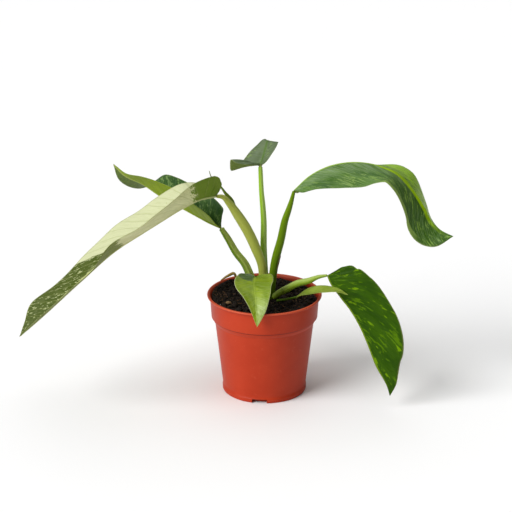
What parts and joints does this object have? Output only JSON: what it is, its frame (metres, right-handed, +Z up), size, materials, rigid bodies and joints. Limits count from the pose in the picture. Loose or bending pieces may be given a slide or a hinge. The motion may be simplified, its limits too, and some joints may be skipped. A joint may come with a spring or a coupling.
{
  "type": "potted philodendron",
  "caption": "Potted philodendron with long arching variegated leaves on slender stalks, rooted in dark soil in a tapered terracotta-coloured nursery pot.",
  "frame": {"origin": "centre of the pot's flat underside, on the surface that it stands on", "axes": "+Z up; +X along the plant's longest spread, towards the large arching leaf; -Y is the front, where the small heart-shaped leaf hangs over the rim"},
  "size_m": [0.3963, 0.1496, 0.2312],
  "materials": {
    "pot_plastic": "terracotta-coloured plastic, soft satin",
    "soil_mix": "moist dark peat and bark, rough and crumbly",
    "crown_skin": "green-brown stem skin, dull",
    "stalk_green": "fresh green, smooth and slightly waxy",
    "stalk_pale": "pale olive green, smooth and slightly waxy",
    "leaf_green": "dark green with lime and pale flecks, satin sheen, olive underside",
    "leaf_cream": "cream half with green flecks and a dark green end, satin sheen, beige underside",
    "leaf_lime": "lime green with paler margin, satin sheen",
    "dry_leaf": "dry papery tan",
    "dry_sheath": "dry papery dark brown",
    "bark": "tan bark chip, rough"
  },
  "bodies": {
    "root": {"pot": "pot_plastic", "soil": "soil_mix", "crown": "crown_skin", "stalk_large_left": "stalk_pale", "leaf_large_left": "leaf_cream", "stalk_back_left": "stalk_green", "leaf_back_left": "leaf_green", "stalk_top": "stalk_green", "leaf_top": "leaf_green", "stalk_large_right": "stalk_green", "leaf_large_right": "leaf_green", "stalk_low_right": "stalk_pale", "leaf_low_right": "leaf_green", "stalk_front": "stalk_green", "leaf_front": "leaf_lime", "stalk_small_right": "stalk_green", "leaf_small_right": "leaf_lime", "sheath_tip": "stalk_green", "dry_scale_leaf": "dry_leaf", "dry_sheath_strip": "dry_sheath", "bark_chip": "bark"}
  },
  "joints": []
}
